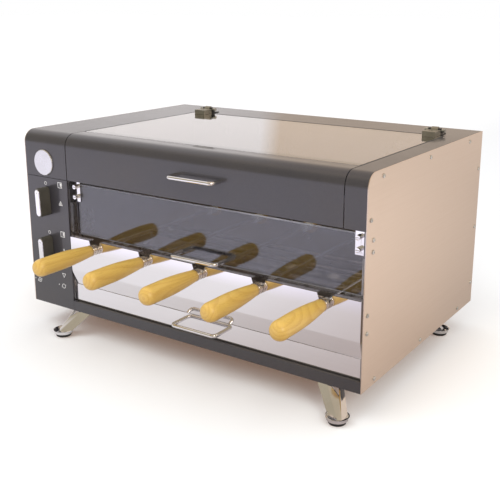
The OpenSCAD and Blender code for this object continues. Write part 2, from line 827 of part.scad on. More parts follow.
module drive_motor() {
    front = plate_front + plate_t;
    color("#9a9da1") placed() difference() {
        union() {
            bar_y(mid_x, pinion_z, front, front + motor_l, motor_r);
            box([mid_x - motor_ear, front, pinion_z - 6], [mid_x + motor_ear, front + plate_t, pinion_z + 6]);
            // connector on top of the can
            box([mid_x - motor_r / 3, front + motor_l - 12, pinion_z + motor_r - 4],
                [mid_x + motor_r / 3, front + motor_l, pinion_z + motor_r + 6]);
        }
        bar_y(mid_x, pinion_z, front - 1, front + pinion_seat + 2, pinion_r + run);
    }
}

// ---- lid ----

lid_x0 = column_x + seam;
lid_x1 = lid_r - seam;

module lid_flap() {
    lap_low = body_h - glass_t - sheet_t;
    color(graphite) placed() {
        along_x(lid_x0, lid_x1) {
            bent_sheet(flap_top, sill_h);
            translate([flap_top - sheet_t, lap_low]) square([sheet_t, glass_t + sheet_t]);
            translate([flap_top - sheet_t, lap_low]) square([flap_lap, sheet_t]);
        }
        for (x = [lid_x0, lid_x1 - sheet_t]) along_x(x, x + sheet_t) intersection() {
            section(0, flap_top, sill_h);
            translate([0, body_h - 34]) square([34, 34]);
        }
    }
}

module rounded_plate(w, d, t, r) {
    linear_extrude(t) {
        translate([r, 0]) square([w - 2 * r, d]);
        translate([0, r]) square([w, d - 2 * r]);
        for (x = [r, w - r]) for (y = [r, d - r]) translate([x, y]) circle(r);
    }
}

module lid_glass() {
    color(tint) placed() translate([lid_x0 + 1, flap_top + gap, body_h - glass_t])
        rounded_plate(lid_x1 - lid_x0 - 2, glass_back - flap_top - gap, glass_t, 4);
}

module lid_handle() { color(chrome) placed() u_handle(lid_handle_h, 0, lid_reach); }

// Moving halves of the lid hinges: a saddle round the glass edge and a knuckle
module lid_clamps() {
    front = glass_back - clamp_l;
    color(black) placed() for (s = [-1, 1]) translate([hinge_mid + s * hinge_x, 0, 0]) difference() {
        union() {
            box([-clamp_w / 2, front, body_h], [clamp_w / 2, glass_back + 3, body_h + hinge_up + 1]);
            box([-clamp_w / 2, glass_back, body_h - glass_t - 4.5],
                [clamp_w / 2, glass_back + 3, body_h + 1]);
            box([-clamp_w / 2, front + 4, body_h - glass_t - 4.5],
                [clamp_w / 2, glass_back + 1, body_h - glass_t]);
            box([-6, glass_back, body_h + 2], [6, hinge_y, body_h + hinge_up + 1]);
            bar_x(hinge_y, hinge_z, -6, 6, 6);
        }
        bar_x(hinge_y, hinge_z, -7, 7, hinge_pin_r + run);
        translate([0, front + clamp_l / 2, body_h + hinge_up - 1]) cylinder(h = 3, r = 3.4);
    }
}

module lid_hinge_bases() {
    color(black) placed() for (s = [-1, 1]) translate([hinge_mid + s * hinge_x, 0, 0]) difference() {
        union() {
            box([-clamp_w / 2, lid_back + gap, body_h], [clamp_w / 2, hinge_y + 20, body_h + 1.6]);
            for (e = [-1, 1]) {
                box([min(e * 6.3, e * clamp_w / 2), hinge_y - hinge_back + gap, body_h],
                    [max(e * 6.3, e * clamp_w / 2), hinge_y + 6, hinge_z]);
                bar_x(hinge_y, hinge_z, min(e * 6.3, e * clamp_w / 2),
                      max(e * 6.3, e * clamp_w / 2), hinge_back - gap);
            }
        }
        bar_x(hinge_y, hinge_z, -clamp_w, clamp_w, hinge_pin_r + 0.02);
        for (x = [-6, 6]) translate([x, hinge_y + 13, body_h - 1]) cylinder(h = 4, r = 1.8);
    }
}

// Pins with a head at each end
module lid_hinge_pins() {
    color(steel) placed() for (s = [-1, 1]) translate([hinge_mid + s * hinge_x, 0, 0]) {
        bar_x(hinge_y, hinge_z, -clamp_w / 2 - 1, clamp_w / 2 + 1, hinge_pin_r);
        for (e = [-1, 1])
            bar_x(hinge_y, hinge_z, min(e * clamp_w / 2, e * (clamp_w / 2 + 6)) + e * gap,
                  max(e * clamp_w / 2, e * (clamp_w / 2 + 6)) + e * gap, hinge_pin_r + 1);
    }
}

// ---- door ----

plate_out = wall_r - 2.5 - gap;                 // outer face of the right hinge plate

module door_glass() {
    inset = plate_out - 1.8 - 1.4 - mid_x;
    color(tint) placed() translate([mid_x - inset, door_in + glass_t, door_low])
        rotate([90, 0, 0]) rounded_plate(2 * inset, door_top - door_low, glass_t, 3);
}

module door_handle() { color(chrome) placed() u_handle(door_handle_h, door_in, handle_reach); }

// Plate on the glass with two tall slotted screws, an ear beside it and the pivot pin
module door_hinge_plates() {
    top = sill_h - 2;
    head_x = plate_out - plate_w / 2 - 1;
    color(chrome) placed() both_sides() difference() {
        union() {
            box([plate_out - plate_w, door_in - 1.5, top - plate_h], [plate_out, door_in, top]);
            box([plate_out - 1.8, door_in - 1.5, top - 18], [plate_out, door_in + glass_t + 2, top]);
            bar_x(door_axis_y, door_axis_z, plate_out - 1, wall_r - 0.2, pivot_r);
            for (z = [top - 9, top - 27]) bar_y(head_x, z, door_in - 9, door_in - 1.5, 3.8);
        }
        for (z = [top - 9, top - 27])
            box([head_x - 5, door_in - 10, z - 0.5], [head_x + 5, door_in - 7.6, z + 0.5]);
    }
}

module door_pivot_brackets() {
    color(steel) placed() both_sides() difference() {
        box([wall_r - 2.5, door_in - 7, sill_h - 40], [wall_r, door_in + 13, sill_h - 2]);
        bar_x(door_axis_y, door_axis_z, wall_r - 4, wall_r + 1, pivot_r + run);
    }
}

// ---- drip tray ----

module drip_tray() {
    left = wall_l + tray_side;
    right = wall_r - tray_side;
    face = tray_in + sheet_t;
    back = face + tray_d;
    t = liner_t;
    color(steel) placed() {
        box([wall_l + tray_gap, tray_in, strip_h + 1], [wall_r - tray_gap, face, panel_low - 0.8]);
        difference() {
            union() {
                box([left, face, tray_floor], [right, back, tray_floor + tray_h]);
                box([left - tray_side + tray_gap, face, tray_floor + tray_h - t],
                    [right + tray_side - tray_gap, back + tray_lip, tray_floor + tray_h]);
            }
            box([left + t, face + t, tray_floor + t], [right - t, back - t, tray_floor + tray_h + 1]);
        }
    }
}

module tray_handle() {
    color(chrome) placed() u_handle((strip_h + panel_low) / 2, tray_in, tray_reach);
}

// ---- skewers ----

// Square rod with a pointed end, collar and tang; z runs to the front here
module skewer(i) {
    x = mid_x + (i - 3) * skewer_pitch;
    color(steel) placed() translate([x, 0, skewer_h]) rotate([90, 0, 0]) {
        translate([0, 0, -collar_back]) cylinder(h = collar_back + collar_front, r = collar_r);
        translate([0, 0, collar_front - 3]) cylinder(h = 3, r = collar_r + 0.9);
        translate([0, 0, -collar_back - 6]) cylinder(h = 6, r1 = rod_w * 0.75, r2 = collar_r);
        translate([0, 0, collar_front]) cylinder(h = tang_l, r = tang_r);
        intersection() {
            translate([-rod_w / 2, -rod_w / 2, -rod_end]) cube([rod_w, rod_w, rod_end]);
            union() {
                translate([0, 0, -rod_end]) cylinder(h = 12, r1 = 0.8, r2 = rod_w * 0.72);
                translate([0, 0, 12 - rod_end]) cylinder(h = rod_end - 12, r = rod_w * 0.72);
            }
        }
    }
}

// Radius of the grip at a share of its length from the collar to the butt: it swells
// up to its full width, stays there and ends in a round butt
function grip_at(s) =
    s < swell ? grip_neck_r + (grip_r - grip_neck_r) * sin(90 * s / swell) :
    s < butt ? grip_r : grip_r * sqrt(max(0, 1 - pow((s - butt) / (1 - butt), 2.4)));

module grip(i) {
    x = mid_x + (i - 3) * skewer_pitch;
    steps = 22;
    function share(k) =
        k < 12 ? swell * k / 12 : butt + (1 - butt) * sin(90 * (k - 12) / (steps - 12));
    color("#e0a03c") placed() translate([x, 0, skewer_h]) rotate([90, 0, 0])
        translate([0, 0, collar_front]) difference() {
            rotate_extrude() polygon(concat(
                [[0, 0]],
                [for (k = [0 : steps - 1]) [grip_at(share(k)), grip_l * share(k)]],
                [[0, grip_l]]
            ));
            translate([0, 0, -1]) cylinder(h = tang_l + 1.5, r = tang_r + run);
        }
}

base_pan();
leg(-1, -1);  // leg_front_left
leg(1, -1);  // leg_front_right
leg(-1, 1);  // leg_rear_left
leg(1, 1);  // leg_rear_right
foot_pads();
side_panel(-1);  // side_panel_left
side_panel(1);  // side_panel_right
top_shell();
rear_cover();
control_panel();
badge();
front_panel();
chamber_liner();
tray_runners();
heating_element(heat_front);  // heating_element_front
heating_element(heat_rear);  // heating_element_rear
element_bushes();
element_brackets();
rotary_switch(knob_high);  // rotary_switch_upper
rotary_switch(knob_low);  // rotary_switch_lower
spindle_bushes();
gear_plate();
drive_motor();
terminal_block();
power_inlet();
inlet_pins();
door_pivot_brackets();
lid_hinge_bases();
lid_hinge_pins();
panel_screws();
lid_flap();
lid_glass();
lid_handle();
lid_clamps();
door_glass();
door_handle();
door_hinge_plates();
drip_tray();
tray_handle();
knob(knob_high);  // knob_upper
knob_cap(knob_high);  // knob_upper_cap
knob(knob_low);  // knob_lower
knob_cap(knob_low);  // knob_lower_cap
motor_pinion();
spindle(1);  // spindle_1
spindle(2);  // spindle_2
spindle(3);  // spindle_3
spindle(4);  // spindle_4
spindle(5);  // spindle_5
skewer(1);  // skewer_1
skewer(2);  // skewer_2
skewer(3);  // skewer_3
skewer(4);  // skewer_4
skewer(5);  // skewer_5
grip(1);  // grip_1
grip(2);  // grip_2
grip(3);  // grip_3
grip(4);  // grip_4
grip(5);  // grip_5
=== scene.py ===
import json
import math

import bmesh
import bpy
from mathutils import Matrix, Vector

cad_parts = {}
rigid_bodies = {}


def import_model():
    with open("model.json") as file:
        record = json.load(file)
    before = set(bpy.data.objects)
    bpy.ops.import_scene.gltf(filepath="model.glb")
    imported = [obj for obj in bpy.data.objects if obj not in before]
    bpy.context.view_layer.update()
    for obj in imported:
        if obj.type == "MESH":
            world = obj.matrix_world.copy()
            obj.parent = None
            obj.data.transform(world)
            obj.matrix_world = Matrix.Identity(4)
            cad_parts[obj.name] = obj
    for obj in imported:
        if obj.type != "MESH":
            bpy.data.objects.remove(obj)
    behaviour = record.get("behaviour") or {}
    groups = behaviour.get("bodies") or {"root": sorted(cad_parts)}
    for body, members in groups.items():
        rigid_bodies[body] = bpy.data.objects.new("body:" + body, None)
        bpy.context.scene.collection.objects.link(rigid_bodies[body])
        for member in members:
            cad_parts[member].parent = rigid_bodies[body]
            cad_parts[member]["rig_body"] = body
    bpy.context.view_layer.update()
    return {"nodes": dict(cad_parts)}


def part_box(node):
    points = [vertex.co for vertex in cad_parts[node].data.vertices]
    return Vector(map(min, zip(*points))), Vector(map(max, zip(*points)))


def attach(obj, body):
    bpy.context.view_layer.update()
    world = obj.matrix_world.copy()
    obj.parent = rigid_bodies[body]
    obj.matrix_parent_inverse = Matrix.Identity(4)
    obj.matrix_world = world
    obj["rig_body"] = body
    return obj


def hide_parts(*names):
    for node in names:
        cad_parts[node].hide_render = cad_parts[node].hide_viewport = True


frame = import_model()

MM = 0.001
NODES = frame["nodes"]

# ---- places that the frame gives ----

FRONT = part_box("control_panel")[0].y      # front plane of the housing
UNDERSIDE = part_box("base_pan")[0].z


def middle_of(box):
    """The centre of a box given as (lowest corner, highest corner)."""
    low, high = box
    return (low + high) / 2


# ---- shader trees ----

def feed(tree, socket, value):
    """Sets a socket, or links it when the value is another socket."""
    if isinstance(value, bpy.types.NodeSocket):
        tree.links.new(value, socket)
    else:
        socket.default_value = value


def add(tree, kind, settings=None, **inputs):
    """Adds a node. An underscore in an input's name stands for a space."""
    node = tree.nodes.new("ShaderNode" + kind)
    for name, value in (settings or {}).items():
        setattr(node, name, value)
    for name, value in inputs.items():
        feed(tree, node.inputs[name.replace("_", " ")], value)
    return node


def calc(tree, operation, *values):
    """The result of one operation on numbers or sockets."""
    node = add(tree, "Math", {"operation": operation})
    for socket, value in zip(node.inputs, values):
        feed(tree, socket, value)
    return node.outputs[0]


def stretched(tree, vector, factors):
    """A vector with each of its parts multiplied by a factor of its own."""
    node = add(tree, "VectorMath", {"operation": "MULTIPLY"})
    feed(tree, node.inputs[0], vector)
    feed(tree, node.inputs[1], factors)
    return node.outputs[0]


def between(tree, value, low, high, new_low=0.0, new_high=1.0):
    """Runs from new_low to new_high while the value runs from low to high."""
    node = add(tree, "MapRange", None, Value=value, From_Min=low, From_Max=high,
               To_Min=new_low, To_Max=new_high)
    return node.outputs[0]


# sockets of a Mix node that mixes colours
FACTOR, FIRST, SECOND, MIXED = 0, 6, 7, 2


def mixed(tree, factor, first, second):
    """The first colour where the factor is 0 and the second where it is 1."""
    node = add(tree, "Mix", {"data_type": "RGBA"})
    feed(tree, node.inputs[FACTOR], factor)
    feed(tree, node.inputs[FIRST], first)
    feed(tree, node.inputs[SECOND], second)
    return node.outputs[MIXED]


def noise(tree, vector, scale, detail=2.0, roughness=0.5):
    """Soft random values between 0 and 1."""
    return add(tree, "TexNoise", None, Vector=vector, Scale=scale, Detail=detail,
               Roughness=roughness).outputs["Fac"]


def raised(tree, shader, height, distance, strength=1.0):
    """Feeds a height to the shader's normal."""
    node = add(tree, "Bump", None, Height=height, Distance=distance, Strength=strength)
    tree.links.new(node.outputs[0], shader.inputs["Normal"])


def coloured(tree, shader, mask, first, second):
    """Lets the base colour run from the first colour to the second with a mask."""
    feed(tree, shader.inputs["Base Color"], mixed(tree, mask, first, second))


def roughened(tree, shader, mask, smooth, rough, low=0.0, high=1.0):
    """Lets the roughness run from smooth to rough while the mask runs from low to high."""
    feed(tree, shader.inputs["Roughness"], between(tree, mask, low, high, smooth, rough))


def colour(red, green, blue):
    return (red, green, blue, 1.0)


def effect(name, inputs, outputs):
    """An empty shader group: its tree, its input node and its output node."""
    tree = bpy.data.node_groups.new(name, "ShaderNodeTree")
    for label, kind, default in inputs:
        socket = tree.interface.new_socket(label, in_out="INPUT", socket_type="NodeSocket" + kind)
        socket.default_value = default
    for label, kind in outputs:
        tree.interface.new_socket(label, in_out="OUTPUT", socket_type="NodeSocket" + kind)
    return tree, tree.nodes.new("NodeGroupInput"), tree.nodes.new("NodeGroupOutput")


def make_grain():
    """Long fine streaks of brushed or drawn metal, finer across than along."""
    tree, given, result = effect(
        "Brushed grain",
        [("Coordinates", "Vector", (0, 0, 0)), ("Stretch", "Vector", (1, 1, 1))],
        [("Streaks", "Float")])
    place = stretched(tree, given.outputs["Coordinates"], given.outputs["Stretch"])
    fine = noise(tree, place, 1.0, 6.0, 0.7)
    broad = noise(tree, place, 0.21, 3.0, 0.6)
    streaks = calc(tree, "ADD", calc(tree, "MULTIPLY", fine, 0.65),
                   calc(tree, "MULTIPLY", broad, 0.35))
    tree.links.new(streaks, result.inputs["Streaks"])
    return tree


def make_handling():
    """Soft uneven film, as hands and cloths leave it, with finer marks inside."""
    tree, given, result = effect(
        "Handling marks",
        [("Coordinates", "Vector", (0, 0, 0)), ("Size", "Float", 8.0), ("Cover", "Float", 0.5)],
        [("Mask", "Float")])
    patches = noise(tree, given.outputs["Coordinates"], given.outputs["Size"], 4.0, 0.55)
    marks = noise(tree, given.outputs["Coordinates"],
                  calc(tree, "MULTIPLY", given.outputs["Size"], 9.0), 3.0, 0.6)
    both = calc(tree, "ADD", calc(tree, "MULTIPLY", patches, 0.75),
                calc(tree, "MULTIPLY", marks, 0.25))
    edge = calc(tree, "SUBTRACT", 1.0, given.outputs["Cover"])
    fade = 0.14
    mask = add(tree, "MapRange", None, Value=both,
               From_Min=calc(tree, "SUBTRACT", edge, fade), From_Max=calc(tree, "ADD", edge, fade))
    tree.links.new(mask.outputs[0], result.inputs["Mask"])
    return tree


def make_peel():
    """Rounded ripple of sprayed paint or moulded plastic."""
    tree, given, result = effect(
        "Surface ripple",
        [("Coordinates", "Vector", (0, 0, 0)), ("Size", "Float", 300.0)],
        [("Height", "Float")])
    cells = add(tree, "TexVoronoi", {"feature": "SMOOTH_F1"}, Vector=given.outputs["Coordinates"],
                Scale=given.outputs["Size"], Smoothness=0.8)
    soft = noise(tree, given.outputs["Coordinates"], given.outputs["Size"], 1.0)
    height = calc(tree, "ADD", calc(tree, "MULTIPLY", cells.outputs["Distance"], 0.5), soft)
    tree.links.new(height, result.inputs["Height"])
    return tree


GRAIN = make_grain()
HANDLING = make_handling()
PEEL = make_peel()


def use(tree, group, **inputs):
    """Places a group in a tree and gives its first output."""
    node = tree.nodes.new("ShaderNodeGroup")
    node.node_tree = group
    for name, value in inputs.items():
        feed(tree, node.inputs[name], value)
    return node.outputs[0]


def blank(name, base, roughness, metallic=0.0, **constants):
    """A Principled material with its constants set: the material, tree, shader and coordinates."""
    made = bpy.data.materials.new(name)
    made.use_nodes = True
    tree = made.node_tree
    shader = tree.nodes["Principled BSDF"]
    shader.inputs["Base Color"].default_value = base
    shader.inputs["Roughness"].default_value = roughness
    shader.inputs["Metallic"].default_value = metallic
    for label, value in constants.items():
        shader.inputs[label.replace("_", " ")].default_value = value
    place = add(tree, "TexCoord").outputs["Object"]
    return made, tree, shader, place


# ---- finishes ----

def casing_paint():
    """Dark grey metallic paint under a glossy clear coat, with a fine flake and a faint ripple."""
    made, tree, shader, place = blank("Casing paint", colour(0.052, 0.049, 0.055), 0.36, 0.25,
                                      Coat_Weight=0.6, Coat_Roughness=0.1)
    flake = add(tree, "TexVoronoi", None, Vector=place, Scale=1900.0)
    glint = between(tree, add(tree, "SeparateColor", None, Color=flake.outputs["Color"]).outputs[0],
                    0.0, 1.0, 0.86, 1.16)
    film = use(tree, HANDLING, Coordinates=place, Size=6.0, Cover=0.45)
    tone = mixed(tree, film, colour(0.048, 0.046, 0.053), colour(0.058, 0.053, 0.055))
    shade = add(tree, "HueSaturation", None, Color=tone, Value=glint)
    feed(tree, shader.inputs["Base Color"], shade.outputs[0])
    roughened(tree, shader, film, 0.32, 0.4)
    raised(tree, shader, use(tree, PEEL, Coordinates=place, Size=420.0), 0.00002, 0.4)
    return made


def sheet_steel(name, base, dark, rough, stretch, streak=0.5, marks=0.4, depth=0.00001):
    """Stainless sheet: streaks along one direction and a thin uneven film."""
    made, tree, shader, place = blank(name, base, rough, 1.0)
    streaks = use(tree, GRAIN, Coordinates=place, Stretch=stretch)
    film = use(tree, HANDLING, Coordinates=place, Size=5.0, Cover=marks)
    tone = calc(tree, "MULTIPLY", between(tree, streaks, 0.35, 0.65), streak)
    coloured(tree, shader, tone, base, dark)
    uneven = calc(tree, "ADD", between(tree, streaks, 0.3, 0.7, rough * 0.8, rough * 1.2),
                  calc(tree, "MULTIPLY", film, 0.05))
    feed(tree, shader.inputs["Roughness"], uneven)
    raised(tree, shader, streaks, depth, 0.6)
    return made


def chamber_steel():
    """Chamber sheet with a straw-brown heat tint at the height of the elements."""
    made, tree, shader, place = blank("Chamber steel", colour(0.55, 0.55, 0.56), 0.26, 1.0)
    streaks = use(tree, GRAIN, Coordinates=place, Stretch=(16.0, 16.0, 900.0))
    height = add(tree, "SeparateXYZ", None, Vector=place).outputs["Z"]
    element = middle_of(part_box("heating_element_front")).z
    away = calc(tree, "ABSOLUTE", calc(tree, "SUBTRACT", height, element))
    heat = between(tree, away, 0.012, 0.075, 0.75, 0.0)
    cloud = use(tree, HANDLING, Coordinates=place, Size=14.0, Cover=0.6)
    tint = calc(tree, "MULTIPLY", heat, between(tree, cloud, 0.0, 1.0, 0.8, 1.0))
    bare = mixed(tree, between(tree, streaks, 0.35, 0.65),
                 colour(0.60, 0.60, 0.62), colour(0.50, 0.50, 0.51))
    coloured(tree, shader, tint, bare, colour(0.42, 0.31, 0.19))
    roughened(tree, shader, cloud, 0.25, 0.30)
    raised(tree, shader, streaks, 0.00001, 0.5)
    return made


def zinc_sheet():
    """Zinc-plated steel with its large crystals."""
    made, tree, shader, place = blank("Zinc-plated sheet", colour(0.58, 0.59, 0.58), 0.38, 1.0)
    crystal = add(tree, "TexVoronoi", None, Vector=place, Scale=85.0)
    tone = add(tree, "SeparateColor", None, Color=crystal.outputs["Color"]).outputs[0]
    coloured(tree, shader, tone, colour(0.50, 0.51, 0.50), colour(0.66, 0.67, 0.66))
    roughened(tree, shader, tone, 0.32, 0.46)
    return made


def chrome():
    """Bright plating with a very thin film of handling."""
    made, tree, shader, place = blank("Chrome plating", colour(0.83, 0.83, 0.85), 0.06, 1.0)
    film = use(tree, HANDLING, Coordinates=place, Size=22.0, Cover=0.42)
    coloured(tree, shader, film, colour(0.85, 0.85, 0.87), colour(0.78, 0.77, 0.77))
    roughened(tree, shader, film, 0.04, 0.13)
    raised(tree, shader, noise(tree, place, 160.0, 2.0), 0.00001, 0.4)
    return made


def turned_metal(name, centre, base):
    """Bright disc with fine turning rings round its own centre."""
    made, tree, shader, place = blank(name, base, 0.3, 1.0)
    local = add(tree, "Mapping", {"vector_type": "POINT"}, Vector=place,
                Location=(-centre.x, -centre.y, -centre.z)).outputs[0]
    flat = stretched(tree, local, (1.0, 0.0, 1.0))
    reach = add(tree, "VectorMath", {"operation": "LENGTH"}, Vector=flat).outputs["Value"]
    rings = noise(tree, add(tree, "CombineXYZ", None, X=reach).outputs[0], 2600.0, 3.0, 0.6)
    film = use(tree, HANDLING, Coordinates=place, Size=40.0, Cover=0.4)
    roughened(tree, shader, film, 0.26, 0.36)
    coloured(tree, shader, rings, base, colour(0.66, 0.66, 0.68))
    raised(tree, shader, rings, 0.00002, 0.35)
    return made


def moulding(name, base, rough, size, depth, light=1.18):
    """Moulded plastic, enamel, rubber or ceramic with a fine grain of its own."""
    made, tree, shader, place = blank(name, base, rough)
    grain = use(tree, PEEL, Coordinates=place, Size=size)
    film = use(tree, HANDLING, Coordinates=place, Size=18.0, Cover=0.45)
    paler = colour(*(min(1.0, c * light + 0.003) for c in base[:3]))
    coloured(tree, shader, film, base, paler)
    roughened(tree, shader, film, rough * 0.9, rough * 1.12)
    raised(tree, shader, grain, depth, 0.6)
    return made


def pane_glass(name, base, size, rough, **constants):
    """Clear tinted glass with a thin film of handling."""
    made, tree, shader, place = blank(name, base, 0.02, 0.0, Transmission_Weight=1.0, **constants)
    film = use(tree, HANDLING, Coordinates=place, Size=size, Cover=0.4)
    roughened(tree, shader, film, 0.01, rough)
    return made


def ground_edge(name, base):
    """The ground edge round a pane."""
    made, tree, shader, place = blank(name, base, 0.45)
    roughened(tree, shader, noise(tree, place, 900.0, 3.0), 0.38, 0.55, 0.3, 0.7)
    raised(tree, shader, noise(tree, place, 1800.0, 2.0), 0.00002, 0.5)
    return made


def heater_sheath():
    """Steel sheath, darkened unevenly by heat."""
    made, tree, shader, place = blank("Heater sheath", colour(0.20, 0.17, 0.15), 0.48, 0.85)
    burnt = use(tree, HANDLING, Coordinates=place, Size=45.0, Cover=0.5)
    blue = noise(tree, place, 12.0, 3.0)
    brown = mixed(tree, burnt, colour(0.26, 0.21, 0.17), colour(0.13, 0.115, 0.11))
    tint = between(tree, blue, 0.55, 0.7, 0.0, 0.6)
    coloured(tree, shader, tint, brown, colour(0.16, 0.17, 0.22))
    roughened(tree, shader, burnt, 0.4, 0.6)
    return made


def bronze():
    """Pressed and sintered bronze with open pores."""
    made, tree, shader, place = blank("Sintered bronze", colour(0.60, 0.42, 0.20), 0.42, 1.0)
    pores = add(tree, "TexVoronoi", None, Vector=place, Scale=1500.0).outputs["Distance"]
    coloured(tree, shader, between(tree, pores, 0.0, 0.35),
             colour(0.30, 0.20, 0.10), colour(0.64, 0.46, 0.22))
    raised(tree, shader, pores, 0.00003, 0.5)
    return made


def drawn_steel():
    """Skewer steel with streaks along the rod."""
    made, tree, shader, place = blank("Drawn steel", colour(0.74, 0.74, 0.74), 0.2, 1.0)
    streaks = use(tree, GRAIN, Coordinates=place, Stretch=(1400.0, 20.0, 1400.0))
    film = use(tree, HANDLING, Coordinates=place, Size=30.0, Cover=0.45)
    coloured(tree, shader, between(tree, streaks, 0.3, 0.7),
             colour(0.80, 0.80, 0.80), colour(0.60, 0.59, 0.58))
    roughened(tree, shader, film, 0.14, 0.3)
    raised(tree, shader, streaks, 0.00002, 0.5)
    return made


def make_wood():
    """Growth rings round an axis that runs a little askew, fibres along the grip, and pores."""
    tree, given, result = effect(
        "Turned wood",
        [("Coordinates", "Vector", (0, 0, 0)), ("Ring width", "Float", 0.0042)],
        [("Tone", "Float"), ("Pores", "Float")])
    place = given.outputs["Coordinates"]
    wander = noise(tree, stretched(tree, place, (30.0, 9.0, 30.0)), 1.0, 2.0)
    flat = stretched(tree, place, (1.0, 0.10, 1.0))
    reach = add(tree, "VectorMath", {"operation": "LENGTH"}, Vector=flat).outputs["Value"]
    pushed = calc(tree, "ADD", reach, calc(tree, "MULTIPLY", wander, 0.006))
    turns = calc(tree, "DIVIDE", pushed, given.outputs["Ring width"])
    late = add(tree, "MapRange", {"interpolation_type": "SMOOTHSTEP"},
               Value=calc(tree, "FRACT", turns), From_Min=0.35, From_Max=0.92)
    fibre = noise(tree, stretched(tree, place, (900.0, 24.0, 900.0)), 1.0, 4.0, 0.65)
    tone = calc(tree, "ADD", calc(tree, "MULTIPLY", late.outputs[0], 0.3),
                calc(tree, "MULTIPLY", fibre, 0.85))
    pores = noise(tree, stretched(tree, place, (1500.0, 40.0, 1500.0)), 1.0, 2.0)
    tree.links.new(tone, result.inputs["Tone"])
    tree.links.new(between(tree, pores, 0.60, 0.74), result.inputs["Pores"])
    return tree


WOOD = make_wood()


def grip_wood(number, core, turn):
    """Lacquered wood whose ring centre lies at core; each grip is cut from another place."""
    made, tree, shader, place = blank(f"Grip wood {number}", colour(0.66, 0.40, 0.10), 0.42, 0.0,
                                      Coat_Weight=0.35, Coat_Roughness=0.22)
    local = add(tree, "Mapping", {"vector_type": "TEXTURE"}, Vector=place, Location=core,
                Rotation=turn)
    grown = tree.nodes.new("ShaderNodeGroup")
    grown.node_tree = WOOD
    feed(tree, grown.inputs["Coordinates"], local.outputs[0])
    grown.inputs["Ring width"].default_value = 0.0034 + 0.0005 * (number % 3)
    tone, pores = grown.outputs["Tone"], grown.outputs["Pores"]
    patch = noise(tree, stretched(tree, place, (25.0, 8.0, 25.0)), 1.0, 2.0)
    pale = mixed(tree, patch, colour(0.78, 0.53, 0.13), colour(0.73, 0.47, 0.10))
    dark = mixed(tree, patch, colour(0.62, 0.34, 0.06), colour(0.56, 0.30, 0.06))
    wood = mixed(tree, calc(tree, "MULTIPLY", between(tree, tone, 0.3, 0.95), 0.7), pale, dark)
    coloured(tree, shader, calc(tree, "MULTIPLY", pores, 0.5), wood, colour(0.42, 0.17, 0.03))
    roughened(tree, shader, tone, 0.36, 0.5, 0.2)
    height = calc(tree, "SUBTRACT", calc(tree, "MULTIPLY", tone, 0.3), pores)
    raised(tree, shader, height, 0.00006, 0.5)
    return made


def print_ink():
    """Pale ink, a little worn."""
    made, tree, shader, place = blank("Printed ink", colour(0.80, 0.80, 0.78), 0.6)
    worn = noise(tree, place, 700.0, 3.0)
    coloured(tree, shader, worn, colour(0.86, 0.86, 0.84), colour(0.72, 0.72, 0.70))
    return made


PAINT = casing_paint()
SIDE = sheet_steel("Satin side steel", colour(0.72, 0.60, 0.505), colour(0.69, 0.575, 0.485), 0.34,
                   (40.0, 14.0, 1500.0), 0.35, 0.4, 0.000004)
POLISHED = sheet_steel("Polished steel", colour(0.86, 0.85, 0.88), colour(0.80, 0.79, 0.82), 0.06,
                       (10.0, 300.0, 700.0), 0.35, 0.3, 0.000002)
CHAMBER = chamber_steel()
ZINC = zinc_sheet()
CHROME = chrome()
RUBBER = moulding("Pad rubber", colour(0.014, 0.014, 0.015), 0.72, 900.0, 0.00004, 1.6)
LID_GLASS = pane_glass("Lid glass", colour(0.66, 0.60, 0.58), 7.0, 0.045, IOR=1.75,
                       Coat_Weight=1.0, Coat_IOR=1.7, Coat_Roughness=0.03)
DOOR_GLASS = pane_glass("Door glass", colour(0.36, 0.38, 0.46), 9.0, 0.04, IOR=1.8)
DARK_EDGE = ground_edge("Ground lid edge", colour(0.10, 0.10, 0.10))
# ground glass edge of the door, made pale partly as a painted highlight along its lower edge
DOOR_EDGE_PAINTED_HIGHLIGHT = ground_edge("Ground door edge with painted highlight", colour(0.60, 0.60, 0.66))
SHEATH = heater_sheath()
CERAMIC = moulding("Ceramic", colour(0.74, 0.70, 0.60), 0.42, 700.0, 0.00002, 1.06)
BLACK = moulding("Black moulding", colour(0.018, 0.018, 0.019), 0.5, 1100.0, 0.00003, 1.5)
ENAMEL = moulding("Black enamel", colour(0.014, 0.014, 0.015), 0.3, 380.0, 0.00002, 1.4)
CREAM = moulding("Cream moulding", colour(0.62, 0.58, 0.49), 0.5, 900.0, 0.00002, 1.06)
KNOB = moulding("Knob moulding", colour(0.065, 0.060, 0.048), 0.38, 1200.0, 0.00002, 1.3)
GEAR = moulding("Gear moulding", colour(0.56, 0.54, 0.47), 0.46, 800.0, 0.00002, 1.06)
MOTOR = sheet_steel("Motor can", colour(0.50, 0.51, 0.52), colour(0.42, 0.43, 0.44), 0.35,
                    (30.0, 900.0, 30.0), 0.5, 0.5)
BRONZE = bronze()
STEEL = drawn_steel()
INK = print_ink()
FERRULE = sheet_steel("Turned ferrule", colour(0.86, 0.78, 0.68), colour(0.58, 0.50, 0.40), 0.2,
                      (60.0, 1500.0, 60.0), 0.6, 0.4)
HINGE = sheet_steel("Cast hinge metal", colour(0.42, 0.41, 0.36), colour(0.30, 0.29, 0.25), 0.4,
                    (300.0, 300.0, 300.0), 0.6, 0.5)
BADGE = turned_metal("Badge metal", middle_of(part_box("badge")), colour(0.74, 0.745, 0.74))


# ---- making pieces ----

MERGE = 0.01 * MM         # corners of a CAD mesh closer than this become one
SHARP = 32.0              # edges that turn by more degrees than this stay sharp
ROUNDED = 30.0            # edges that turn by more degrees than this can be rounded
FLAT = 0.4                # faces that turn by fewer degrees than this become one


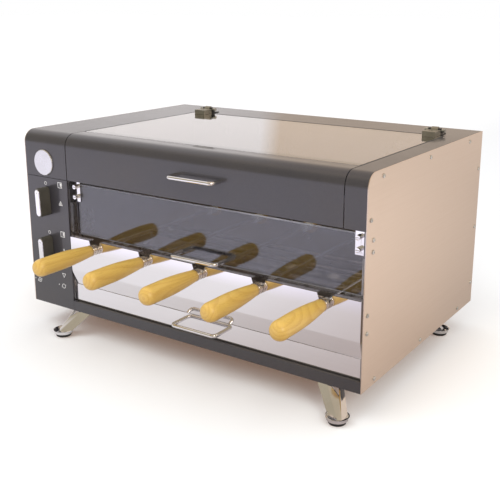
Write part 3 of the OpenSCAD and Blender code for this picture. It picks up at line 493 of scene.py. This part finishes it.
def make_piece(name, bm, body, material, replaced=(), sharp=SHARP):
    """Makes a piece of a bmesh: smooth but for its sharp edges, riding on its body."""
    mesh = bpy.data.meshes.new(name)
    bm.to_mesh(mesh)
    bm.free()
    mesh.shade_smooth()
    mesh.set_sharp_from_angle(angle=math.radians(sharp))
    piece = bpy.data.objects.new(name, mesh)
    bpy.context.scene.collection.objects.link(piece)
    for finish in material if isinstance(material, (list, tuple)) else [material]:
        mesh.materials.append(finish)
    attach(piece, body)
    if replaced:
        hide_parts(*replaced)
    return piece


def body_of_node(node):
    return NODES[node]["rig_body"]


def stand_in(name, bm, node, material, sharp=SHARP):
    """Makes a piece that is shown in place of a CAD node."""
    return make_piece(name, bm, body_of_node(node), material, [node], sharp)


def soften(piece, width, segments=2):
    """Rounds a piece's edges."""
    bevel = piece.modifiers.new("Rounded edges", "BEVEL")
    bevel.width = width * MM
    bevel.segments = segments
    bevel.limit_method = "ANGLE"
    bevel.angle_limit = math.radians(ROUNDED)
    bevel.harden_normals = True


def joined(node):
    """A CAD node's mesh with its corners joined."""
    bm = bmesh.new()
    bm.from_mesh(NODES[node].data)
    bmesh.ops.remove_doubles(bm, verts=bm.verts, dist=MERGE)
    return bm


def merged(node):
    """A CAD node's mesh with joined corners and no needless edges on flat faces."""
    bm = joined(node)
    bmesh.ops.dissolve_limit(bm, angle_limit=math.radians(FLAT), verts=bm.verts, edges=bm.edges)
    return bm


def finished(node, material, edge=0.0, segments=2):
    """A CAD node's own shape with joined faces and rounded edges, shown in its place."""
    piece = stand_in(node + "_finished", merged(node), node, material)
    if edge:
        soften(piece, edge, segments)


def plain(node, material):
    """A CAD node shown as it is, in its finish."""
    mesh = NODES[node].data
    mesh.materials.clear()
    mesh.materials.append(material)


def only(kind, geom):
    """The elements of one kind in what an operator gives back."""
    return [part for part in geom if isinstance(part, kind)]


def islands(node):
    """The box of each separate solid of a node, as (lowest corner, highest corner)."""
    bm = joined(node)
    waiting = set(bm.verts)
    boxes = []
    while waiting:
        front = [waiting.pop()]
        corners = []
        while front:
            vert = front.pop()
            corners.append(vert.co.copy())
            for edge in vert.link_edges:
                other = edge.other_vert(vert)
                if other in waiting:
                    waiting.remove(other)
                    front.append(other)
        boxes.append((Vector(map(min, *corners)), Vector(map(max, *corners))))
    bm.free()
    return sorted(boxes, key=lambda b: tuple(round(c, 4) for c in b[0]))


def lathe(bm, profile, centre, axis, steps):
    """Spins a profile of (radius, distance along the axis), in mm, round the axis."""
    axis = Vector(axis).normalized()
    side = axis.orthogonal().normalized()
    verts = [bm.verts.new(centre + (side * r + axis * d) * MM) for r, d in profile]
    edges = [bm.edges.new(pair) for pair in zip(verts, verts[1:])]
    bmesh.ops.spin(bm, geom=verts + edges, cent=centre, axis=axis, angle=math.tau, steps=steps,
                   use_merge=True)
    bmesh.ops.remove_doubles(bm, verts=bm.verts, dist=0.002 * MM)
    bmesh.ops.recalc_face_normals(bm, faces=bm.faces)


# ---- casing ----

for sheet, edge in (("base_pan", 0.25), ("top_shell", 0.3), ("rear_cover", 0.25),
                    ("control_panel", 0.3), ("lid_flap", 0.3)):
    finished(sheet, PAINT, edge)
for sheet in ("side_panel_left", "side_panel_right"):
    finished(sheet, SIDE, 0.3)
finished("front_panel", POLISHED, 0.2)
finished("drip_tray", POLISHED, 0.3)
finished("chamber_liner", CHAMBER, 0.2)
finished("badge", BADGE, 0.25)
for part in ("tray_runners", "element_brackets", "gear_plate", "lid_hinge_pins"):
    finished(part, ZINC, 0.2)
finished("door_pivot_brackets", ENAMEL, 0.2)

# ---- legs ----

for leg in ("leg_front_left", "leg_front_right", "leg_rear_left", "leg_rear_right"):
    finished(leg, CHROME, 0.25)
finished("foot_pads", RUBBER, 0.5)

# ---- hinges, controls and drive ----

finished("lid_hinge_bases", ENAMEL, 0.4)
finished("lid_clamps", HINGE, 0.7, 3)
finished("door_hinge_plates", CHROME, 0.25)
for knob in ("knob_upper", "knob_lower"):
    finished(knob, KNOB, 1.0, 3)
    finished(knob + "_cap", CHROME, 0.25)
for part in ("rotary_switch_upper", "rotary_switch_lower", "power_inlet"):
    finished(part, BLACK, 0.4)
finished("inlet_pins", CHROME, 0.2)
finished("terminal_block", CREAM, 0.3)
finished("drive_motor", MOTOR, 0.5)
finished("spindle_bushes", BRONZE, 0.2)
finished("element_bushes", CERAMIC, 0.3)
finished("heating_element_front", SHEATH)
finished("heating_element_rear", SHEATH)
plain("motor_pinion", GEAR)
for number in range(1, 6):
    plain(f"spindle_{number}", GEAR)


# ---- glass ----

def pane(node, glass, edge, width, name):
    """A pane with its broad faces in glass and its ground edge in another finish."""
    low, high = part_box(node)
    across = 1 if high.y - low.y < high.z - low.z else 2      # the axis of its thickness
    bm = merged(node)
    corners = [e for e in bm.edges if len(e.link_faces) == 2 and e.calc_face_angle(0) > 1.2]
    bmesh.ops.bevel(bm, geom=corners, offset=width * MM, affect="EDGES", segments=1,
                    profile=0.5, material=-1)
    for face in bm.faces:
        face.normal_update()
        if abs(face.normal[across]) < 0.99:
            face.material_index = 1
    stand_in(name, bm, node, [glass, edge])


pane("lid_glass", LID_GLASS, DARK_EDGE, 0.5, "lid_pane")
pane("door_glass", DOOR_GLASS, DOOR_EDGE_PAINTED_HIGHLIGHT, 1.3, "door_pane")


# ---- wire handles ----

def wire_handle(node):
    """A chromed wire bent into a U."""
    low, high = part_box(node)
    wire = (high.z - low.z) / 2 / MM
    height = (low.z + high.z) / 2
    left, right = low.x + wire * MM, high.x - wire * MM
    bar = low.y + wire * MM
    bend = 7.0 * MM
    bm = bmesh.new()
    ring = bmesh.ops.create_circle(bm, cap_ends=True, radius=wire * MM, segments=24)["verts"]
    bmesh.ops.rotate(bm, verts=ring, matrix=Matrix.Rotation(math.pi / 2, 3, "X"))
    bmesh.ops.translate(bm, verts=ring, vec=(left, high.y, height))
    face = bm.faces[:]

    def pull(faces, offset):
        made = bmesh.ops.extrude_face_region(bm, geom=faces)["geom"]
        bmesh.ops.delete(bm, geom=faces, context="FACES_ONLY")
        bmesh.ops.translate(bm, verts=only(bmesh.types.BMVert, made), vec=offset)
        return only(bmesh.types.BMFace, made)

    def turn(faces, centre, angle):
        made = bmesh.ops.spin(bm, geom=faces, cent=centre, axis=(0, 0, 1), angle=angle, steps=10)
        return only(bmesh.types.BMFace, made["geom_last"])

    face = pull(face, (0, bar + bend - high.y, 0))
    face = turn(face, (left + bend, bar + bend, height), math.pi / 2)
    face = pull(face, (right - left - 2 * bend, 0, 0))
    face = turn(face, (right - bend, bar + bend, height), math.pi / 2)
    pull(face, (0, high.y - bar - bend, 0))
    bmesh.ops.recalc_face_normals(bm, faces=bm.faces)
    stand_in(node + "_wire", bm, node, CHROME, sharp=40.0)


for handle in ("lid_handle", "door_handle", "tray_handle"):
    wire_handle(handle)


# ---- skewers and grips ----

SWELL = 0.62              # share of a grip's length that swells from the neck
BUTT = 0.87               # share of a grip's length before its round butt
NECK = 0.655              # radius of the neck as a share of the belly's
NECK_EDGE = 0.6           # chamfer at the neck, mm
ROD = 6.0                 # width of the square rod, mm
ROD_EDGE = 0.45           # rounding of the rod's edges, mm
POINT = 12.0              # length of the rod's point, mm
BLUNT = 0.2               # width of the point's end as a share of the rod's
PIN_BAND = (4.0, 6.0)     # where the collar's pin hole lies, mm from the grip
PIN_SIDE = Vector((0.8, 0.0, -0.15)).normalized()
# outline of the collar: radius and distance from the grip, mm
COLLAR = ((3.4, 21.0), (4.5, 20.9), (8.6, 15.2), (9.0, 14.6), (9.0, 8.2), (8.5, 7.9), (8.5, 6.9),
          (9.0, 6.6), (9.0, 3.6), (9.8, 3.2), (9.9, 2.8), (9.9, 0.7), (9.5, 0.1), (8.3, 0.0),
          (6.0, 0.0))


def grip_radius(share, neck, belly):
    """Radius at a share of the grip's length from the collar to the butt."""
    if share < SWELL:
        return neck + (belly - neck) * math.sin(math.pi / 2 * share / SWELL)
    if share < BUTT:
        return belly
    return belly * max(0.0, 1 - ((share - BUTT) / (1 - BUTT)) ** 2.8) ** 0.42


def grip(number):
    """A grip turned from wood of its own."""
    node = f"grip_{number}"
    low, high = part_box(node)
    middle = (low + high) / 2
    belly = (high.x - low.x) / 2 / MM
    length = (high.y - low.y) / MM
    neck = belly * NECK
    shares = [SWELL * k / 14 for k in range(15)] + [(SWELL + BUTT) / 2, BUTT]
    shares += [BUTT + (1 - BUTT) * math.sin(math.pi / 2 * k / 12) for k in range(1, 13)]
    profile = [(0, 0), (neck - NECK_EDGE, 0), (neck, NECK_EDGE)]
    profile += [(grip_radius(share, neck, belly), length * share) for share in shares[1:]]
    bm = bmesh.new()
    lathe(bm, profile, Vector((middle.x, high.y, middle.z)), (0, -1, 0), 64)
    core = Vector((middle.x + 0.006 * math.cos(2.1 * number), middle.y,
                   middle.z + 0.007 * math.sin(1.3 * number)))
    wood = grip_wood(number, core, (0.05 * number, 0.7 * number, 0.06))
    stand_in(node + "_turned", bm, node, wood, sharp=50.0)


def rod(number):
    """Square skewer rod with a blunt point."""
    node = f"skewer_{number}"
    low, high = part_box(node)
    middle = (low + high) / 2
    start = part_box(f"grip_{number}")[1].y
    straight = high.y - start - POINT * MM
    bm = bmesh.new()
    bar = bmesh.ops.create_cube(bm, size=1.0)["verts"]
    bmesh.ops.scale(bm, verts=bar, vec=(ROD * MM, straight, ROD * MM))
    bmesh.ops.translate(bm, verts=bar, vec=(middle.x, start + straight / 2, middle.z))
    end = max(bm.faces, key=lambda face: face.calc_center_median().y)
    tip = bmesh.ops.extrude_face_region(bm, geom=[end])["geom"]
    bmesh.ops.delete(bm, geom=[end], context="FACES_ONLY")
    tip = only(bmesh.types.BMVert, tip)
    bmesh.ops.translate(bm, verts=tip, vec=(0, POINT * MM, 0))
    bmesh.ops.scale(bm, verts=tip, vec=(BLUNT, 1, BLUNT),
                    space=Matrix.Translation((-middle.x, -high.y, -middle.z)))
    along = [e for e in bm.edges if abs(e.verts[0].co.y - e.verts[1].co.y) > MM]
    bmesh.ops.bevel(bm, geom=along, offset=ROD_EDGE * MM, affect="EDGES", segments=2,
                    profile=0.5, material=-1)
    stand_in(node + "_rod", bm, node, STEEL)


def collar(number):
    """Turned collar with grooves and a pin hole."""
    node = f"skewer_{number}"
    middle = middle_of(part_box(node))
    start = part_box(f"grip_{number}")[1].y
    bm = bmesh.new()
    lathe(bm, COLLAR, Vector((middle.x, start, middle.z)), (0, 1, 0), 40)
    near, far = PIN_BAND
    band = [f for f in bm.faces if near < (f.calc_center_median().y - start) / MM < far]
    hole = max(band, key=lambda face: face.normal.dot(PIN_SIDE))
    bmesh.ops.inset_region(bm, faces=[hole], thickness=0.12 * MM)
    bmesh.ops.inset_region(bm, faces=[hole], thickness=0.1 * MM, depth=-2.0 * MM)
    make_piece(node + "_collar", bm, body_of_node(node), FERRULE, sharp=35.0)


for number in range(1, 6):
    rod(number)
    collar(number)
    grip(number)


# ---- screws ----

HEAD_RADIUS = 3.4         # mm
HEAD_HEIGHT = 2.0         # mm
RECESS = 0.2              # width of the cross recess as a share of the radius
BOLTS = (24, 40)          # places of a leg's bolts, mm from the middle of its pad
BOLT_INSET = 37           # the same across the housing's depth
SHEET = 1.6               # how far a leg's flange stands below the pan, mm


def screw_head():
    """A pan head on the XY plane with a cross recess, as a mesh."""
    radius, height = HEAD_RADIUS, HEAD_HEIGHT
    bm = bmesh.new()
    lathe(bm, [(0, -0.4), (radius, -0.4), (radius, height * 0.3), (radius * 0.86, height * 0.72),
               (radius * 0.5, height * 0.96), (0, height)], Vector((0, 0, 0)), (0, 0, 1), 24)
    head = bpy.data.objects.new("head", bpy.data.meshes.new("head"))
    bm.to_mesh(head.data)
    bm.free()
    cutter = bmesh.new()
    for long, wide in ((1, RECESS), (RECESS, 1)):
        bar = bmesh.ops.create_cube(cutter, size=1.0)["verts"]
        bmesh.ops.scale(cutter, verts=bar,
                        vec=(long * radius * MM, wide * radius * MM, height * MM))
        bmesh.ops.translate(cutter, verts=bar, vec=(0, 0, height * 0.95 * MM))
    blade = bpy.data.objects.new("blade", bpy.data.meshes.new("blade"))
    cutter.to_mesh(blade.data)
    cutter.free()
    for thing in (head, blade):
        bpy.context.scene.collection.objects.link(thing)
    cut = head.modifiers.new("Recess", "BOOLEAN")
    cut.operation = "DIFFERENCE"
    cut.solver = "EXACT"
    cut.use_self = True
    cut.object = blade
    shown = head.evaluated_get(bpy.context.evaluated_depsgraph_get())
    shaped = bpy.data.meshes.new_from_object(shown)
    for thing in (head, blade):
        bpy.data.objects.remove(thing)
    return shaped


def screws(name, head, places, replaced=()):
    """Sets a head at each (point, outward direction, turn) and joins them into one piece."""
    bm = bmesh.new()
    for point, outward, turn in places:
        start = len(bm.verts)
        bm.from_mesh(head)
        bm.verts.ensure_lookup_table()
        facing = Vector((0, 0, 1)).rotation_difference(Vector(outward)).to_matrix().to_4x4()
        place = Matrix.Translation(point) @ facing @ Matrix.Rotation(turn, 4, "Z")
        bmesh.ops.transform(bm, matrix=place, verts=bm.verts[start:])
    make_piece(name, bm, "housing", ZINC, replaced)


HEAD = screw_head()
WALLS = {1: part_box("side_panel_right")[1].x, -1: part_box("side_panel_left")[0].x}

side_places = []
for index, box in enumerate(islands("panel_screws")):
    middle = middle_of(box)
    outward = 1 if middle.x > 0 else -1
    point = Vector((WALLS[outward], middle.y, middle.z))
    side_places.append((point, (outward, 0, 0), 0.9 * index))
screws("panel_screw_heads", HEAD, side_places, ["panel_screws"])

bolt_places = []
pads = middle_of(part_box("foot_pads"))
for box in islands("foot_pads"):
    pad = middle_of(box)
    inward = Vector((math.copysign(1, pads.x - pad.x), math.copysign(1, pads.y - pad.y)))
    for offset in BOLTS:
        point = Vector((pad.x + inward.x * offset * MM, pad.y + inward.y * BOLT_INSET * MM,
                        UNDERSIDE - SHEET * MM))
        bolt_places.append((point, (0, 0, -1), 0.3 * offset))
screws("leg_bolt_heads", HEAD, bolt_places)


# ---- printed signs on the column ----

# all in mm, with places as (across from the middle, height above the underside)
LINE = 1.1
NOUGHT = 3.2
SQUARE = 7.4
TRIANGLE = 5.8
WHEEL = 4.4
ARROW = 2.2
INK_THICKNESS = 0.08


def print_face(bm, centre, radius, sides, turn=0.0):
    """A flat filled shape on the column, facing the front."""
    verts = bmesh.ops.create_circle(bm, cap_ends=True, radius=radius * MM, segments=sides)["verts"]
    stand = Matrix.Rotation(math.pi / 2, 4, "X") @ Matrix.Rotation(math.radians(turn), 4, "Z")
    place = Matrix.Translation((centre[0] * MM, FRONT, UNDERSIDE + centre[1] * MM))
    bmesh.ops.transform(bm, matrix=place @ stand, verts=verts)
    return list({f for v in verts for f in v.link_faces})


def print_ring(bm, centre, radius, sides, turn=0.0):
    """The outline of such a shape."""
    faces = print_face(bm, centre, radius, sides, turn)
    bmesh.ops.inset_region(bm, faces=faces, thickness=LINE * MM, use_even_offset=True,
                           use_boundary=True)
    bmesh.ops.delete(bm, geom=faces, context="FACES")


def print_bar(bm, centre, width, height):
    """A filled upright bar."""
    faces = print_face(bm, centre, 1.0, 4, 45)
    verts = list({v for f in faces for v in f.verts})
    middle = Vector((centre[0] * MM, FRONT, UNDERSIDE + centre[1] * MM))
    bmesh.ops.scale(bm, verts=verts, vec=(width / math.sqrt(2), 1, height / math.sqrt(2)),
                    space=Matrix.Translation(-middle))


def print_half_square(bm, height):
    """A square with its right half filled."""
    print_ring(bm, (-256, height), SQUARE, 4, 45)
    print_bar(bm, (-253.8, height), 3.8, 6.8)


def print_wheel(bm, across, dot):
    """A dot, and a ring with an arrow at either side."""
    print_face(bm, (dot, 42.6), 1.1, 16)
    print_ring(bm, (across, 41.5), WHEEL, 24)
    print_face(bm, (across + 4.2, 43.5), ARROW, 3, 200)
    print_face(bm, (across - 4.2, 39.5), ARROW, 3, 20)


bm = bmesh.new()
# at the upper knob
print_ring(bm, (-292, 228.7), NOUGHT, 24)
print_half_square(bm, 229)
print_ring(bm, (-256.5, 195.0), TRIANGLE, 3)
print_face(bm, (-256.5, 194.6), 2.2, 3)
# at the lower knob
print_ring(bm, (-290, 138.6), NOUGHT, 24)
print_half_square(bm, 139.4)
print_face(bm, (-255, 110.8), 2.8, 3)
print_ring(bm, (-259, 63), TRIANGLE, 3, 180)
# along the bottom
print_wheel(bm, -324, -336)
print_wheel(bm, -261, -273)
print_ring(bm, (-324, 41.5), 2.0, 6)
prints = make_piece("column_prints", bm, "housing", INK)
thick = prints.modifiers.new("Ink thickness", "SOLIDIFY")
thick.thickness = INK_THICKNESS * MM
thick.offset = 1.0


# ---- floor, light and camera ----

def floor_finish():
    """Pale floor with a soft warm shadow for the camera, partly painted shadow, and painted
    reflection colours, as of a room, for mirrors.
    """
    made = bpy.data.materials.new("Studio floor")
    made.use_nodes = True
    tree = made.node_tree
    tree.nodes.clear()
    path = add(tree, "LightPath")
    camera_ray = path.outputs["Is Camera Ray"]
    seen = calc(tree, "MAXIMUM", camera_ray, path.outputs["Is Glossy Ray"])
    seen = calc(tree, "MAXIMUM", seen, path.outputs["Is Transmission Ray"])
    place = add(tree, "TexCoord").outputs["Object"]
    across, depth = add(tree, "SeparateXYZ", None, Vector=place).outputs[:2]
    # painted reflection: what the front mirrors is painted on the floor, white at the left, browner
    # at the right where shade is painted, and bluer farther off
    toward = between(tree, across, -0.15, 0.32)
    painted_near_reflection = mixed(tree, toward, colour(0.68, 0.665, 0.68), colour(0.38, 0.32, 0.31))
    painted_far_reflection = mixed(tree, toward, colour(0.90, 0.87, 1.0), colour(0.32, 0.28, 0.32))
    before = mixed(tree, between(tree, depth, FRONT - 0.36, FRONT - 0.44), painted_near_reflection, painted_far_reflection)
    # painted reflection: what the right side mirrors is painted on the floor, darker as painted
    # shade near at hand and far behind
    painted_side_reflection = calc(tree, "ADD", between(tree, across, 0.42, 0.98, 0.0, 0.75),
                 between(tree, depth, 0.0, 1.6, 0.62, 0.0))
    right = mixed(tree, painted_side_reflection, colour(0.05, 0.035, 0.03), colour(1.02, 0.93, 0.87))
    # painted reflection: the painted colours before the front and at the side joined; the camera
    # sees a pale bluish floor, other rays these painted colours
    room = mixed(tree, between(tree, depth, FRONT - 0.02, FRONT + 0.10), before, right)
    pale = mixed(tree, camera_ray, room, colour(0.80, 0.88, 0.93))
    # painted shadow: before the front the glow is lowered, so the shadow there is a little deeper
    painted_shadow_mask = calc(tree, "MULTIPLY", between(tree, depth, FRONT - 0.42, FRONT - 0.02),
                 between(tree, across, 0.42, 0.22))
    painted_shadow_mask = calc(tree, "MULTIPLY", painted_shadow_mask, between(tree, across, -0.75, -0.35))
    soft = mixed(tree, painted_shadow_mask, colour(0.26, 0.18, 0.13), colour(0.15, 0.07, 0.03))
    warm = mixed(tree, camera_ray, colour(0.11, 0.105, 0.10), soft)
    matt = add(tree, "BsdfDiffuse", None, Color=pale)
    glow = add(tree, "Emission", None, Color=warm, Strength=seen)
    both = add(tree, "AddShader")
    tree.links.new(matt.outputs[0], both.inputs[0])
    tree.links.new(glow.outputs[0], both.inputs[1])
    result = add(tree, "OutputMaterial")
    tree.links.new(both.outputs[0], result.inputs["Surface"])
    return made


bm = bmesh.new()
bmesh.ops.create_grid(bm, x_segments=1, y_segments=1, size=30.0)
floor_mesh = bpy.data.meshes.new("floor")
bm.to_mesh(floor_mesh)
bm.free()
floor_mesh.materials.append(floor_finish())
floor = bpy.data.objects.new("floor", floor_mesh)
bpy.context.scene.collection.objects.link(floor)


def room_light():
    """White for the camera, plain light for the rest, and a room for what mirrors.

    The room is pale at the left and beige at the right and behind. In front it is white below,
    a dim olive wall above that, and a warm ceiling.
    """
    world = bpy.data.worlds.new("Studio")
    world.use_nodes = True
    tree = world.node_tree
    path = add(tree, "LightPath")
    facing = add(tree, "TexCoord").outputs["Generated"]
    across, depth, height = add(tree, "SeparateXYZ", None, Vector=facing).outputs
    left = between(tree, across, -0.53, -0.55)
    ahead = between(tree, depth, 0.1, -0.3)
    wall = calc(tree, "MULTIPLY", between(tree, height, -0.05, 0.05),
                between(tree, height, 0.85, 0.65))
    room = mixed(tree, left, colour(0.75, 0.61, 0.49), colour(0.98, 0.93, 0.92))
    ceiling = mixed(tree, between(tree, across, -0.72, -0.52),
                    colour(0.66, 0.64, 0.64), colour(1.1, 0.90, 0.68))
    ceiling = mixed(tree, between(tree, across, -0.46, -0.33), ceiling, colour(0.62, 0.50, 0.36))
    front = mixed(tree, between(tree, height, -0.05, 0.2), colour(1.0, 0.99, 0.99), ceiling)
    front = mixed(tree, wall, front, colour(0.44, 0.38, 0.28))
    room = mixed(tree, ahead, room, front)
    light = mixed(tree, path.outputs["Is Glossy Ray"], colour(0.95, 0.95, 0.95), room)
    white = mixed(tree, path.outputs["Is Camera Ray"], light, colour(1.0, 1.0, 1.0))
    feed(tree, tree.nodes["Background"].inputs["Color"], white)
    return world


bpy.context.scene.world = room_light()


def lamp(name, place, size, power, tint, target=(0.0, 0.0, 0.15)):
    """A round lamp that looks at its target."""
    data = bpy.data.lights.new(name, "AREA")
    data.shape = "DISK"
    data.size = size
    data.energy = power
    data.color = tint
    made = bpy.data.objects.new(name, data)
    bpy.context.scene.collection.objects.link(made)
    made.location = place
    made.rotation_euler = (Vector(target) - Vector(place)).to_track_quat("-Z", "Y").to_euler()
    return made


key = lamp("key", (-1.0, -1.6, 2.8), 2.4, 26, (1.0, 0.98, 0.95))
key.visible_glossy = False
chamber = lamp("chamber", (0.17, 0.0, 0.335), 0.28, 0.28, (1.0, 0.97, 0.96), (0.17, 0.0, 0.1))
chamber.visible_transmission = False
lamp("side", (2.0, -1.3, 1.3), 1.2, 16, (1.0, 0.92, 0.82))

CAMERA_AZIMUTH = 33.7
CAMERA_ELEVATION = 14.51
CAMERA_ROLL = 0.16
CAMERA_PLACE = (0.7989, FRONT - 0.9421, 0.5840)
FOCAL_PIXELS = 801.7
PRINCIPAL_PIXEL = (262.4, 210.47)
PICTURE = 500.0
SENSOR = 36.0

camera_data = bpy.data.cameras.new("camera")
camera_data.sensor_width = SENSOR
camera_data.lens = SENSOR * FOCAL_PIXELS / PICTURE
camera_data.shift_x = (PICTURE / 2 - PRINCIPAL_PIXEL[0]) / PICTURE
camera_data.shift_y = (PRINCIPAL_PIXEL[1] - PICTURE / 2) / PICTURE
camera_data.shift_y = (PRINCIPAL_PIXEL[1] - PICTURE / 2) / PICTURE
camera = bpy.data.objects.new("camera", camera_data)
bpy.context.scene.collection.objects.link(camera)
azimuth, elevation = math.radians(CAMERA_AZIMUTH), math.radians(CAMERA_ELEVATION)
back = Vector((math.sin(azimuth) * math.cos(elevation), -math.cos(azimuth) * math.cos(elevation),
               math.sin(elevation)))
camera.matrix_world = (Matrix.Translation(CAMERA_PLACE)
                       @ back.to_track_quat("Z", "Y").to_matrix().to_4x4()
                       @ Matrix.Rotation(math.radians(CAMERA_ROLL), 4, "Z"))
bpy.context.scene.camera = camera
bpy.context.scene.view_settings.view_transform = "Standard"
